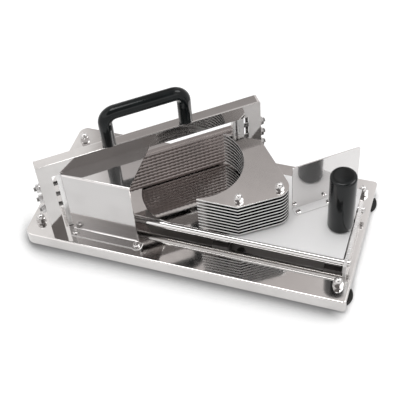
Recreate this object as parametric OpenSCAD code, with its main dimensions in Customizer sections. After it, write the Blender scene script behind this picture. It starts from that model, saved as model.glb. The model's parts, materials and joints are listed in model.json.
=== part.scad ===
// Hand-pushed slicer for soft fruit: a polished tray on rubber feet carries a diagonal portal frame
// with a pack of level blades, and a carriage on two rods pushes the fruit through the pack.
// The pusher is a stack of thin plates, one for every gap between the blades, so it follows the
// fruit right through. X runs along the tray, Y from front to back, Z up from the table.

/* [Tray] */
// Length of the tray
base_l = 430; // [400:5:480]
// Depth of the tray
base_w = 204; // [196:2:230]
// Height of the tray's top above the table
base_h = 22; // [21:1:30]
// Height of the turned-down skirt
skirt_h = 18; // [12:1:18]
// Thickness of the tray sheet
tray_t = 1.5; // [1:0.1:2]
// Corner radius in plan at the left end
left_corner_r = 12; // [6:1:16]
// Corner radius in plan at the right end
right_corner_r = 4; // [4:0.5:6]
// Inside radius of the bend between the top and the skirt
bend_in_r = 1; // [0.5:0.1:1.5]

/* [Feet] */
// Diameter of a rubber foot at the table
foot_d = 39; // [36:1:48]
// Distance of a foot from the end of the tray
foot_inset_x = 15; // [15:1:30]
// Distance of a foot from the long side of the tray
foot_inset_y = 25; // [25:1:32]

/* [Rods and brackets] */
// Diameter of a guide rod
rod_d = 10; // [8:0.5:11]
// Height of the rod axes above the tray
rod_rise = 16; // [15:0.5:18]
// Distance between the two rods
rod_gap = 88; // [76:1:96]
// Thickness of the rod brackets
bracket_t = 4; // [3:0.5:5]
// Distance of the right bracket from the tray's end
bracket_inset = 9; // [8:1:12]

/* [Portal frame] */
// Angle of the frame to the tray's long side
frame_angle = 37.6; // [37:0.1:38.2]
// Length of the frame
frame_l = 296; // [290:1:296]
// Thickness of the frame, front to back
frame_t = 14; // [13:0.5:16]
// Height of the frame above the tray
frame_h = 123; // [121:1:140]
// Sheet thickness of the frame
frame_wall = 2; // [1.5:0.1:2.2]
// Depth of the top beam
beam_h = 21; // [18:1:21]
// Width of each post
post_w = 17; // [15:0.5:18]
// Radius of the frame's upper corners
frame_corner_r = 2.5; // [2.5:0.5:6]
// Distance of the frame's front corner from the left end of the tray
frame_inset_x = 38.2; // [36:0.2:40]
// Distance of the frame's front corner from the front of the tray
frame_inset_y = 10.9; // [10:0.1:12]

/* [Blades] */
// Distance from one slice to the next
slice_pitch = 5.8; // [5.5:0.1:6]
// Thickness of a blade
blade_t = 0.6; // [0.4:0.05:0.9]
// Width of a blade
blade_w = 8; // [6:0.5:8]
// Distance from one tooth to the next
tooth_pitch = 6; // [4:0.5:10]
// Depth of a tooth
tooth_h = 1.2; // [0.6:0.1:1.5]
// Width of a blade bar
bar_w = 15; // [9.5:0.5:15.5]
// Clear slot between a post and its blade bar
bar_slot = 5.5; // [4:0.5:6]
// Distance between the tension screws
tension_gap = 19.5; // [16:0.5:21]

/* [Pusher] */
// Number of pusher plates
plate_n = 10; // [8:1:10]
// Thickness of a pusher plate
plate_t = 2; // [1.5:0.1:2.4]
// Width of the carriage, front to back
carriage_w = 116; // [112:1:118]
// Radius of the round seat for the fruit
seat_r = 59.5; // [58:0.5:61]
// Length of a pusher plate from the seat's centre to its corner
pusher_reach = 131; // [126:1:134]
// Corner radius of a pusher plate
pusher_corner_r = 18; // [12:1:22]
// Diameter of the stack studs
stud_d = 6; // [5:0.5:6]

/* [Carriage] */
// Thickness of the carriage plate
floor_t = 2; // [1.5:0.1:2.4]
// Gap between a rod and the carriage plate
rod_cover_gap = 2; // [1.6:0.1:2.5]
// Length of a slide block
block_l = 22; // [16:1:24]

/* [Grip, shield, guard and handle] */
// Diameter of the push grip
grip_d = 33; // [28:1:36]
// Length of the push grip
grip_h = 92; // [70:1:110]
// Height of the hand shield
shield_h = 78; // [50:1:85]
// Length of the hand shield
shield_l = 91; // [80:1:96]
// Sheet thickness of the shield and the guard
cover_t = 1.5; // [1:0.1:2]
// Length of the guard along the tray
guard_l = 90; // [80:1:94]
// Thickness of the carry handle
handle_d = 17.5; // [13:0.5:18]
// Distance between the handle's legs
handle_gap = 101; // [90:1:120]
// Height of the handle's bar above the frame
handle_rise = 48.5; // [44:0.5:60]
// Bend radius of the handle
handle_bend_r = 14; // [12:1:24]

/* [Hidden] */
$fn = 48;

// Shared clearances
slide_gap = 0.3;
thread_gap = 0.1;
hole_gap = 0.3;
over = 1;

// Places on the tray
bend_r = bend_in_r + tray_t;
foot_x = base_l / 2 - foot_inset_x;
foot_y = base_w / 2 - foot_inset_y;
frame_x = frame_inset_x - base_l / 2;
frame_y = frame_inset_y - base_w / 2;

// Carriage levels, measured from the tray's top
rod_r = rod_d / 2;
floor_z0 = rod_rise + rod_r + rod_cover_gap;
floor_z1 = floor_z0 + floor_t;
stack_z1 = floor_z1 + plate_n * slice_pitch;
slice_gap = slice_pitch - plate_t;

// Plan of the carriage and the pusher stack
carriage_from_corner = 94.1;
carriage_y = frame_y + carriage_from_corner;
carriage_y0 = carriage_y - carriage_w / 2;
carriage_y1 = carriage_y + carriage_w / 2;
carriage_end_gap = 1.5;
carriage_x1 = base_l / 2 - bracket_inset - bracket_t - carriage_end_gap;
seat_from_end = 202.5;
tongue_reach = 20;
seat_x = carriage_x1 - seat_from_end;
tongue_x = seat_x - tongue_reach;
pusher_tip_x = 17.5;
pusher_corner_drop = 17;
pusher_corner_y = carriage_y - pusher_corner_drop;
pusher_front_run = 61;
pusher_rear_run = 63.5;
pusher_corner = [seat_x + pusher_reach, pusher_corner_y];
pusher_front = [pusher_corner[0] - pusher_front_run, carriage_y0];
pusher_rear = [pusher_corner[0] - pusher_rear_run, carriage_y1];
stud_edge = 12;
stud_1_x = -2;
stud_2_x = -19.5;
stud_2_y = 1;
stud_1 = pusher_front + [stud_1_x, stud_edge];
stud_2 = pusher_corner + [stud_2_x, stud_2_y];
spacer_d = 11;
stud_tail = 1;
rod_edge = 2;
rod_front_y = carriage_y0 + rod_edge;
rod_rear_y = rod_front_y + rod_gap;

// Slide blocks: two on each rod, between the rods
block_end_inset = 2;
block_span = 146.5;
block_x = [carriage_x1 - block_l - block_end_inset, carriage_x1 - block_l - block_end_inset - block_span];
block_bore_r = rod_r + slide_gap;
block_z0 = 5;
block_back = 14;
block_screw_x = 6;
block_screw_inset = 4.2;
block_screw_y = block_back - block_screw_inset;
block_screw_d = 3;
block_screw_bite = 1.2;
block_head_d = 6;
block_head_h = 2.6;
block_sink = 4;
block_sink_z = block_z0 + block_sink;

// Rods and their brackets
bracket_x1 = base_l / 2 - bracket_inset;
rod_x1 = bracket_x1 - bracket_t;
bracket_drop = 2.5;
bracket_h = floor_z0 - bracket_drop;
bracket_edge = 10;
bracket_y0 = rod_front_y - bracket_edge;
bracket_y1 = rod_rear_y + bracket_edge;
bracket_room = 6.7;
rod_x0 = frame_back_x(bracket_y0) - bracket_room;
bracket_x0 = rod_x0 - bracket_t;
bracket_foot = 13;
bracket_foot_w = 40;
bracket_foot_y0 = (rod_front_y + rod_rear_y - bracket_foot_w) / 2;
bracket_screw_d = 5;
bracket_screw_inset = 5;
bracket_screw_x = bracket_foot / 2 + 1;
rod_screw_d = 6;
rod_screw_l = 16;

// Portal frame, in its own s, t, z axes
mid_t = frame_t / 2;
window_z1 = frame_h - beam_h;
post_foot_h = 12;
frame_screw_d = 6;
frame_screw_end = 2;
frame_screw_depth = post_foot_h - frame_screw_end;
bar_s0 = post_w + bar_slot;
bar_s1 = bar_s0 + bar_w;
bar_gap = 0.4;
bar_t = frame_t - 2 * frame_wall - 2 * bar_gap;
bar_end_gap = 1;
bar_z0 = bar_end_gap;
bar_z1 = window_z1 - bar_end_gap;
tension_d = 6;
tension_lift = 7;
tension_reach = 8;
tension_grip = 5;
bar_back_end = 0.6;
slot_gap = 0.2;
blade_n = plate_n + 1;
blade_s0 = bar_s0 + tension_grip + bar_back_end;
blade_seat = bar_s1 - blade_s0;
blade_plain = 1.6;
blade_z1 = floor_z1 + slice_gap / 2;
tension_z = (blade_z1 + stack_z1) / 2 + tension_lift;
bar_pin_d = 2.5;
bar_pin_s = blade_s0 + blade_seat / 2;
pin_groove_w = 2;
pin_groove_t = mid_t - frame_wall - bar_gap;

// Handle
handle_shift = 1;
handle_s = frame_l / 2 - handle_shift;
handle_screw_d = 6;
handle_screw_depth = 16;

// Guard
guard_from_post = 24.8;
guard_setback = 14.1;
guard_x0 = frame_x + guard_from_post;
guard_x1 = guard_x0 + guard_l;
guard_y = frame_y + guard_setback;
guard_z1 = window_z1 + cover_t;
guard_foot = 12.5;
guard_bend_r = 1.5;
guard_ear_r = 7;
guard_screw_d = 5;
guard_screw_inset = 5;
guard_screw_y = guard_y - (guard_foot + guard_bend_r) / 2;
guard_screw_x = [guard_x0 + guard_screw_inset, guard_x1];

// Grip and shield
grip_from_end = 15;
grip_from_mid = 6;
grip_x = carriage_x1 - grip_from_end;
grip_y = carriage_y - grip_from_mid;
grip_edge_r = 3.5;
grip_screw_d = 8;
grip_screw_l = 30;
grip_screw_hex = 13;
grip_screw_head_h = 5.3;
shield_from_end = 80;
shield_from_mid = 3.5;
shield_x = carriage_x1 - shield_from_end;
shield_y = carriage_y + shield_from_mid;
shield_foot = 13;
shield_foot_cut = 4;
shield_foot_l = shield_l - shield_foot_cut;
shield_foot_r = 3;
shield_corner_r = 1.5;
rivet_d = 4;
rivet_head_d = 7;
rivet_head_h = 1.2;
rivet_edge = 4.5;
rivet_t = rivet_edge - shield_foot;
rivet_inset = 5.5;
rivet_step = 42;
rivet_s = [rivet_inset, rivet_inset + rivet_step, shield_foot_l - rivet_inset];

// Nuts and washers: across flats, nut height, washer diameter and washer thickness
m6_nut = [10, 4, 12, 1.2];
foot_nut = [11, 6.5, 14, 1.6];
// Button heads: diameter, height and socket across flats
m5_head = [9, 3, 3];
m6_head = [10, 4, 4];
screw_out = 4;
dome_inset = 0.2;
dome_bore = 1.5;

// Feet
foot_stud_d = 6;
foot_stud_z0 = 8;
foot_neck_r = 10;
foot_fillet = 3;
foot_edge = 1;
foot_recess = 1.5;
foot_ring = 3;
foot_gap = 0.4;

steel = "#d8d8d6";
dark_steel = "#a9a8a6";
black = "#17191a";

// Front face of the frame at a given x, and its back face at a given y
function frame_front_y(x) = frame_y + (x - frame_x) * tan(frame_angle);
function frame_back_x(y) = frame_x + (y - frame_y) / tan(frame_angle) - frame_t / sin(frame_angle);

// Shared shapes

// Moves its children onto the tray's top
module on_tray() {
    translate([0, 0, base_h]) children();
}

// Moves its children into the portal frame's own axes
module in_frame() {
    translate([frame_x, frame_y, base_h]) rotate([0, 0, frame_angle]) children();
}

// Flips its children to the other end of the portal frame
module frame_end(right) {
    if (right) translate([frame_l, 0, 0]) mirror([1, 0, 0]) children();
    else children();
}

module rod_x(d, l) {
    rotate([0, 90, 0]) cylinder(d = d, h = l);
}

// Section of the tray's sheet at an edge: top, quarter bend and skirt, whose outer face is at x = depth
module edge_section(depth) {
    flat_l = depth - bend_r;
    translate([0, skirt_h - tray_t]) square([flat_l, tray_t]);
    translate([flat_l, skirt_h - bend_r]) intersection() {
        difference() {
            circle(bend_r);
            circle(bend_in_r);
        }
        square(bend_r);
    }
    translate([depth - tray_t, 0]) square([tray_t, skirt_h - bend_r]);
}

// Both long edges, both ends and the four round corners of the tray, around its flat top
module tray_sheet() {
    half_l = base_l / 2;
    half_w = base_w / 2;
    r0 = left_corner_r;
    r1 = right_corner_r;
    run = base_l - r0 - r1;
    translate([-half_l + r0, -half_w + r1, skirt_h - tray_t]) cube([run, base_w - 2 * r1, tray_t]);
    for (front = [0, 1]) mirror([0, front, 0]) {
        translate([-half_l + r0, half_w - r1, 0]) rotate([90, 0, 90]) linear_extrude(run) edge_section(r1);
        translate([half_l - r1, half_w - r1, 0]) rotate_extrude(angle = 90) edge_section(r1);
        translate([-half_l + r0, half_w - r0, 0]) rotate([0, 0, 90])
            rotate_extrude(angle = 90) edge_section(r0);
    }
    translate([half_l - r1, half_w - r1, 0]) rotate([90, 0, 0])
        linear_extrude(base_w - 2 * r1) edge_section(r1);
    mirror([1, 0, 0]) translate([half_l - r0, half_w - r0, 0]) rotate([90, 0, 0])
        linear_extrude(base_w - 2 * r0) edge_section(r0);
}

// Clearance hole down through a sheet whose upper face is at z = 0
module sheet_hole(screw_d, sheet_t) {
    translate([0, 0, -sheet_t - over]) cylinder(d = screw_d + hole_gap, h = sheet_t + 2 * over);
}

module at_feet() {
    for (x = [-foot_x, foot_x], y = [-foot_y, foot_y]) translate([x, y, 0]) children();
}

module washer(size, bore_d) {
    difference() {
        cylinder(d = size[2], h = size[3]);
        translate([0, 0, -over]) cylinder(d = bore_d + hole_gap, h = size[3] + 2 * over);
    }
}

module hex_nut(size, bore_d) {
    difference() {
        cylinder(d = size[0] / cos(30), h = size[1], $fn = 6);
        translate([0, 0, -over]) cylinder(d = bore_d + 2 * thread_gap, h = size[1] + 2 * over);
    }
}

// Hexagon with a domed cap and a blind thread
module acorn_nut(size, bore_d) {
    dome_r = size[0] / 2 - dome_inset;
    difference() {
        union() {
            cylinder(d = size[0] / cos(30), h = size[1], $fn = 6);
            translate([0, 0, size[1]]) intersection() {
                sphere(dome_r);
                translate([0, 0, dome_r / 2]) cube([2 * dome_r, 2 * dome_r, dome_r], center = true);
            }
        }
        translate([0, 0, -over]) cylinder(d = bore_d + 2 * thread_gap, h = size[1] + dome_bore + over);
    }
}

// Button-head screw standing on z = 0 with its shank below
module button_screw(d, l, head) {
    head_r = head[0] / 2;
    head_h = head[1];
    socket = head[2];
    translate([0, 0, -l]) cylinder(d = d, h = l);
    difference() {
        rotate_extrude() {
            square([head_r - head_h / 2, head_h]);
            square([head_r, head_h / 2]);
            translate([head_r - head_h / 2, head_h / 2]) circle(head_h / 2);
        }
        translate([0, 0, head_h / 2]) cylinder(d = socket / cos(30), h = head_h, $fn = 6);
    }
}

// Tray, feet and their fasteners

module base_tray() {
    color(steel) difference() {
        translate([0, 0, base_h - skirt_h]) tray_sheet();
        on_tray() at_feet() sheet_hole(foot_stud_d, tray_t);
        at_brackets() sheet_hole(bracket_screw_d, tray_t);
        at_guard_screws() sheet_hole(guard_screw_d, tray_t);
        at_frame_screws() sheet_hole(frame_screw_d, tray_t);
    }
}

// Disc foot with a shallow suction recess and a neck that reaches the tray inside the skirt
module rubber_feet() {
    top = base_h - tray_t;
    r = foot_d / 2;
    rim = base_h - skirt_h - foot_gap;
    color(black) at_feet() difference() {
        rotate_extrude() difference() {
            polygon([[0, 0], [r - foot_edge, 0], [r, foot_edge], [r, rim - foot_edge],
                     [r - foot_edge, rim], [foot_neck_r + foot_fillet, rim],
                     [foot_neck_r, rim + foot_fillet], [foot_neck_r, top], [0, top]]);
            polygon([[-over, -over], [r - foot_ring, -over], [r - foot_ring, 0],
                     [r / 2, foot_recess], [-over, foot_recess]]);
        }
        translate([0, 0, foot_stud_z0]) cylinder(d = foot_stud_d + 2 * thread_gap, h = top);
    }
}

module foot_studs() {
    color(dark_steel) at_feet() translate([0, 0, foot_stud_z0])
        cylinder(d = foot_stud_d, h = base_h + foot_nut[3] + foot_nut[1] - foot_stud_z0);
}

module foot_washers() {
    color(steel) on_tray() at_feet() washer(foot_nut, foot_stud_d);
}

module foot_acorn_nuts() {
    color(steel) on_tray() at_feet() translate([0, 0, foot_nut[3]]) acorn_nut(foot_nut, foot_stud_d);
}

// Guide rods and their brackets

module guide_rod(y) {
    color(steel) on_tray() translate([rod_x0, y, rod_rise]) difference() {
        rod_x(rod_d, rod_x1 - rod_x0);
        for (x = [-over, rod_x1 - rod_x0 - rod_screw_l + bracket_t])
            translate([x, 0, 0]) rod_x(rod_screw_d + 2 * thread_gap, rod_screw_l - bracket_t + over);
    }
}

module front_rod() {
    guide_rod(rod_front_y);
}

module rear_rod() {
    guide_rod(rod_rear_y);
}

// Places of the bracket's own screws on the tray
module at_brackets() {
    for (x = [bracket_x0, rod_x1], y = [bracket_screw_inset, bracket_foot_w - bracket_screw_inset])
        on_tray() translate([x - bracket_screw_x, bracket_foot_y0 + y, 0]) children();
}

// Angle bracket: an upright across both rods and a foot on the tray
module rod_bracket(x) {
    color(steel) difference() {
        on_tray() union() {
            translate([x, bracket_y0, 0]) cube([bracket_t, bracket_y1 - bracket_y0, bracket_h]);
            translate([x - bracket_foot, bracket_foot_y0, 0])
                cube([bracket_foot + bracket_t, bracket_foot_w, bracket_t]);
        }
        on_tray() for (y = [rod_front_y, rod_rear_y])
            translate([x - over, y, rod_rise]) rod_x(rod_screw_d + hole_gap, bracket_t + 2 * over);
        at_brackets() translate([0, 0, bracket_t]) sheet_hole(bracket_screw_d, bracket_t);
    }
}

module left_rod_bracket() {
    rod_bracket(bracket_x0);
}

module right_rod_bracket() {
    rod_bracket(rod_x1);
}

module rod_screws() {
    color(dark_steel) on_tray() for (y = [rod_front_y, rod_rear_y]) {
        translate([bracket_x1, y, rod_rise]) rotate([0, 90, 0])
            button_screw(rod_screw_d, rod_screw_l, m6_head);
        translate([bracket_x0, y, rod_rise]) rotate([0, -90, 0])
            button_screw(rod_screw_d, rod_screw_l, m6_head);
    }
}

module bracket_screws() {
    color(dark_steel) at_brackets() translate([0, 0, bracket_t])
        button_screw(bracket_screw_d, bracket_t + tray_t + screw_out, m5_head);
}

// Portal frame and blade pack

// Places of the screws that hold the posts down
module at_frame_screws() {
    in_frame() for (s = [post_w / 2, frame_l - post_w / 2]) translate([s, mid_t, 0]) children();
}

module at_tension() {
    in_frame() for (right = [false, true], i = [-1, 0, 1])
        frame_end(right) translate([0, mid_t, tension_z + i * tension_gap]) children();
}

// Face of the frame, drawn in by a margin: upright posts and beam with rounded upper corners
module frame_face(margin) {
    r = frame_corner_r - margin;
    top = frame_h - margin;
    translate([margin, 0]) square([frame_l - 2 * margin, top - r]);
    translate([frame_corner_r, 0]) square([frame_l - 2 * frame_corner_r, top]);
    for (s = [frame_corner_r, frame_l - frame_corner_r]) translate([s, top - r]) circle(r);
}

// Sets a face drawn in s and z upright, from t0 backwards
module upright(t0, depth) {
    translate([0, t0 + depth, 0]) rotate([90, 0, 0]) linear_extrude(depth) children();
}

module portal_frame() {
    color(steel) difference() {
        in_frame() difference() {
            upright(0, frame_t) difference() {
                frame_face(0);
                translate([post_w, -over]) square([frame_l - 2 * post_w, window_z1 + over]);
            }
            upright(frame_wall, frame_t - 2 * frame_wall) difference() {
                frame_face(frame_wall);
                square([frame_l, post_foot_h]);
            }
            for (side = [-1, 1]) translate([handle_s + side * handle_gap / 2, mid_t, frame_h])
                sheet_hole(handle_screw_d, frame_wall);
        }
        at_tension() translate([-over, 0, 0]) rod_x(tension_d + hole_gap, frame_wall + 2 * over);
        at_frame_screws() translate([0, 0, -over])
            cylinder(d = frame_screw_d + 2 * thread_gap, h = frame_screw_depth + over);
    }
}

module frame_screws() {
    color(dark_steel) at_frame_screws() translate([0, 0, -tray_t]) mirror([0, 0, 1])
        button_screw(frame_screw_d, frame_screw_depth - 1 + tray_t, m6_head);
}

function blade_z(i) = blade_z1 + (i - 1) * slice_pitch;

// Upright bar with a slot for every blade, a pin bore behind a groove and threads for the tension screws
module blade_bar(right) {
    slot_h = blade_t + slot_gap;
    bar_front = frame_wall + bar_gap;
    color(dark_steel) in_frame() frame_end(right) difference() {
        translate([bar_s0, bar_front, bar_z0]) cube([bar_w, bar_t, bar_z1 - bar_z0]);
        translate([bar_pin_s - pin_groove_w / 2, bar_front - over, -over])
            cube([pin_groove_w, pin_groove_t + over, frame_h]);
        for (i = [1:blade_n]) translate([blade_s0 - slot_gap, -over, blade_z(i) - slot_h / 2])
            cube([bar_w, frame_t + 2 * over, slot_h]);
        translate([bar_pin_s, mid_t, -over]) cylinder(d = bar_pin_d + 2 * thread_gap, h = frame_h);
        for (i = [-1, 0, 1]) translate([bar_s0 - over, mid_t, tension_z + i * tension_gap])
            rod_x(tension_d + 2 * thread_gap, tension_grip + over);
    }
}

module left_blade_bar() {
    blade_bar(false);
}

module right_blade_bar() {
    blade_bar(true);
}

module blade_pins() {
    color(dark_steel) in_frame() for (right = [false, true]) frame_end(right)
        translate([bar_pin_s, mid_t, bar_z0]) cylinder(d = bar_pin_d, h = bar_z1 - bar_z0);
}

// Flat strip with a row of teeth along the edge that meets the fruit
module blade(i) {
    l = frame_l - 2 * blade_s0;
    t0 = mid_t - blade_w / 2;
    toothed = l - 2 * (blade_seat + blade_plain);
    teeth = floor(toothed / tooth_pitch);
    start = (l - teeth * tooth_pitch) / 2;
    edge = [for (k = [0:teeth], tip = [0, 1])
        if (tip == 0 || k < teeth) [start + (k + tip / 2) * tooth_pitch, tip == 0 ? tooth_h : 0]];
    color(steel) in_frame() translate([blade_s0, t0, blade_z(i) - blade_t / 2]) difference() {
        linear_extrude(blade_t)
            polygon(concat([[0, tooth_h]], edge, [[l, tooth_h], [l, blade_w], [0, blade_w]]));
        for (s = [bar_pin_s - blade_s0, l - bar_pin_s + blade_s0])
            translate([s, blade_w / 2, -over]) cylinder(d = bar_pin_d + hole_gap, h = blade_t + 2 * over);
    }
}

module tension_studs() {
    color(dark_steel) at_tension() translate([-tension_reach, 0, 0])
        rod_x(tension_d, tension_reach + bar_s0 + tension_grip - thread_gap);
}

module tension_washers() {
    color(steel) at_tension() rotate([0, -90, 0]) washer(m6_nut, tension_d);
}

module tension_nuts() {
    color(steel) at_tension() translate([-m6_nut[3], 0, 0]) rotate([0, -90, 0])
        hex_nut(m6_nut, tension_d);
}

// Carry handle: two legs, two quarter bends and a bar
module carry_handle() {
    leg_h = handle_rise - handle_bend_r;
    color(black) in_frame() translate([handle_s, mid_t, frame_h]) difference() {
        union() {
            for (side = [-1, 1]) {
                translate([side * handle_gap / 2, 0, 0]) cylinder(d = handle_d, h = leg_h);
                translate([side * (handle_gap / 2 - handle_bend_r), 0, leg_h]) rotate([90, 0, 0])
                    mirror([side < 0 ? 1 : 0, 0, 0])
                        rotate_extrude(angle = 90) translate([handle_bend_r, 0]) circle(d = handle_d);
            }
            translate([-handle_gap / 2 + handle_bend_r, 0, handle_rise])
                rod_x(handle_d, handle_gap - 2 * handle_bend_r);
        }
        for (side = [-1, 1]) translate([side * handle_gap / 2, 0, -over])
            cylinder(d = handle_screw_d + 2 * thread_gap, h = handle_screw_depth + over);
    }
}

module handle_screws() {
    color(dark_steel) in_frame() for (side = [-1, 1])
        translate([handle_s + side * handle_gap / 2, mid_t, frame_h - frame_wall]) mirror([0, 0, 1])
            button_screw(handle_screw_d, frame_wall + handle_screw_depth - 1, m6_head);
}

// Corner guard: one bent sheet with a level top, an upright front and a foot with two ears

module at_guard_screws() {
    for (x = guard_screw_x) on_tray() translate([x, guard_screw_y, 0]) children();
}

// Quarter of a bend in sheet, about its own centre
module bent_corner() {
    intersection() {
        difference() {
            circle(guard_bend_r + cover_t);
            circle(guard_bend_r);
        }
        square(guard_bend_r + cover_t);
    }
}

// Section of the guard in y and z: foot, bend, upright front, bend and top
module guard_fold() {
    bend = cover_t + guard_bend_r;
    translate([-guard_foot, 0]) square([guard_foot - guard_bend_r, cover_t]);
    translate([-guard_bend_r, bend]) rotate(-90) bent_corner();
    translate([0, bend]) square([cover_t, window_z1 - guard_bend_r - bend]);
    translate([bend, window_z1 - guard_bend_r]) rotate(90) bent_corner();
    translate([bend, window_z1]) square([frame_l, cover_t]);
}

// Plan of the guard, up to the slanted face of the frame
module guard_plan() {
    y0 = guard_y - guard_foot;
    polygon([[guard_x0, y0], [guard_x1, y0], [guard_x1, frame_front_y(guard_x1)],
             [guard_x0, frame_front_y(guard_x0)]]);
}

// Round ear under the screw at the right end of the foot
module guard_ear() {
    linear_extrude(cover_t) translate([guard_x1, guard_screw_y]) {
        circle(guard_ear_r);
        translate([-guard_ear_r, 0])
            square([2 * guard_ear_r, (guard_foot - guard_bend_r) / 2]);
    }
}

module corner_guard() {
    color(steel) difference() {
        on_tray() union() {
            intersection() {
                translate([guard_x0, guard_y, 0]) rotate([90, 0, 90]) linear_extrude(guard_l) guard_fold();
                translate([0, 0, -over]) linear_extrude(guard_z1 + 2 * over) guard_plan();
            }
            guard_ear();
        }
        at_guard_screws() translate([0, 0, cover_t]) sheet_hole(guard_screw_d, cover_t);
    }
}

module guard_screws() {
    color(dark_steel) at_guard_screws() translate([0, 0, cover_t])
        button_screw(guard_screw_d, cover_t + tray_t + screw_out, m5_head);
}

// Carriage

// Places of a slide block's screws, from the block's own end
function block_at(i) = [block_x[i % 2], i < 2 ? rod_front_y : rod_rear_y];

// Towards the middle of the carriage: backwards from the front rod and forwards from the rear one
function block_inward(i) = i < 2 ? 1 : -1;

module at_block_screws() {
    for (i = [0:3], x = [block_screw_x, block_l - block_screw_x])
        translate([block_at(i)[0] + x, block_at(i)[1] + block_inward(i) * block_screw_y, base_h]) children();
}

module at_stack_studs() {
    for (p = [stud_1, stud_2]) translate([p[0], p[1], base_h]) children();
}

// Moves its children to the grip's place on the carriage plate
module at_grip() {
    translate([grip_x, grip_y, base_h + floor_z1]) children();
}

// Moves its children into the shield's own axes on the carriage plate
module in_shield() {
    translate([shield_x, shield_y, base_h + floor_z1]) rotate([0, 0, frame_angle]) children();
}

module at_rivets() {
    in_shield() for (s = rivet_s) translate([s, rivet_t, 0]) children();
}

// Long tongue with a round nose that slides under the lowest blade
module carriage_plate() {
    color(steel) difference() {
        on_tray() translate([0, 0, floor_z0]) linear_extrude(floor_t) {
            translate([tongue_x, carriage_y0]) square([carriage_x1 - tongue_x, carriage_w]);
            translate([tongue_x, carriage_y]) circle(d = carriage_w, $fn = 96);
        }
        at_stack_studs() cylinder(d = stud_d + hole_gap, h = floor_z1 + over);
        at_grip() sheet_hole(grip_screw_d, floor_t);
        at_block_screws() translate([0, 0, floor_z0 - over])
            cylinder(d = block_screw_d + 2 * thread_gap, h = block_screw_bite + over);
        at_rivets() sheet_hole(rivet_d, floor_t);
    }
}

// Plastic shoe that holds a rod from inside the carriage, above, behind and below, open to the outside
module slide_block(i) {
    at = block_at(i - 1);
    back = block_inward(i - 1) > 0 ? 0 : block_back;
    color(black) difference() {
        translate([at[0], at[1] - back, base_h + block_z0])
            cube([block_l, block_back, floor_z0 - block_z0]);
        translate([at[0] - over, at[1], base_h + rod_rise]) rod_x(2 * block_bore_r, block_l + 2 * over);
        at_block_screws() translate([0, 0, block_z0 - over]) {
            cylinder(d = block_screw_d + hole_gap, h = floor_z0);
            cylinder(d = block_head_d + hole_gap, h = block_sink + over);
        }
    }
}

module block_screws() {
    color(dark_steel) at_block_screws() translate([0, 0, block_sink_z - block_head_h]) {
        cylinder(d = block_head_d, h = block_head_h);
        cylinder(d = block_screw_d, h = block_head_h + floor_z0 - block_sink_z + block_screw_bite);
    }
}

// Plan of a pusher plate: straight sides, a blunt corner away from the blades, a round seat and blunt tips
module pusher_plan() {
    tip_x = seat_x + pusher_tip_x;
    to_front = pusher_front - pusher_corner;
    to_rear = pusher_rear - pusher_corner;
    u = to_front / norm(to_front);
    v = to_rear / norm(to_rear);
    half = acos(u * v) / 2;
    back = pusher_corner_r / tan(half);
    centre = pusher_corner + (u + v) / norm(u + v) * pusher_corner_r / sin(half);
    difference() {
        union() {
            polygon([[tip_x, carriage_y0], pusher_front, pusher_corner + u * back,
                     pusher_corner + v * back, pusher_rear, [tip_x, carriage_y1]]);
            translate(centre) circle(pusher_corner_r);
        }
        translate([seat_x, carriage_y]) circle(seat_r, $fn = 96);
    }
}

module pusher_plate(i) {
    color(steel) difference() {
        on_tray() translate([0, 0, floor_z1 + i * slice_pitch - plate_t])
            linear_extrude(plate_t) pusher_plan();
        at_stack_studs() cylinder(d = stud_d + hole_gap, h = stack_z1 + over);
    }
}

module stack_spacers() {
    color(dark_steel) at_stack_studs() for (i = [0:plate_n - 1])
        translate([0, 0, floor_z1 + i * slice_pitch]) difference() {
            cylinder(d = spacer_d, h = slice_gap);
            translate([0, 0, -over]) cylinder(d = stud_d + hole_gap, h = slice_gap + 2 * over);
        }
}

module stack_studs() {
    z0 = floor_z0 - m6_nut[1] - m6_nut[3] - stud_tail;
    color(dark_steel) at_stack_studs() translate([0, 0, z0])
        cylinder(d = stud_d, h = stack_z1 + m6_nut[3] + m6_nut[1] - z0);
}

module stack_washers() {
    color(steel) at_stack_studs() {
        translate([0, 0, stack_z1]) washer(m6_nut, stud_d);
        translate([0, 0, floor_z0 - m6_nut[3]]) washer(m6_nut, stud_d);
    }
}

module stack_acorn_nuts() {
    color(steel) at_stack_studs() translate([0, 0, stack_z1 + m6_nut[3]]) acorn_nut(m6_nut, stud_d);
}

module stack_lock_nuts() {
    color(steel) at_stack_studs() translate([0, 0, floor_z0 - m6_nut[3] - m6_nut[1]])
        hex_nut(m6_nut, stud_d);
}

// Upright sheet in front of the hand, with a foot turned towards the grip
module hand_shield() {
    color(steel) difference() {
        in_shield() union() {
            upright(-cover_t, cover_t) {
                square([shield_l, shield_h - shield_corner_r]);
                translate([shield_corner_r, 0]) square([shield_l - 2 * shield_corner_r, shield_h]);
                for (s = [shield_corner_r, shield_l - shield_corner_r])
                    translate([s, shield_h - shield_corner_r]) circle(shield_corner_r);
            }
            linear_extrude(cover_t) {
                translate([0, shield_foot_r - shield_foot])
                    square([shield_foot_l, shield_foot - shield_foot_r]);
                translate([shield_foot_r, -shield_foot])
                    square([shield_foot_l - 2 * shield_foot_r, shield_foot]);
                for (s = [shield_foot_r, shield_foot_l - shield_foot_r])
                    translate([s, shield_foot_r - shield_foot]) circle(shield_foot_r);
            }
        }
        at_rivets() translate([0, 0, cover_t]) sheet_hole(rivet_d, cover_t);
    }
}

module shield_rivets() {
    color(dark_steel) at_rivets() {
        translate([0, 0, -floor_t]) cylinder(d = rivet_d, h = floor_t + cover_t);
        translate([0, 0, cover_t]) cylinder(d = rivet_head_d, h = rivet_head_h);
    }
}

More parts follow.
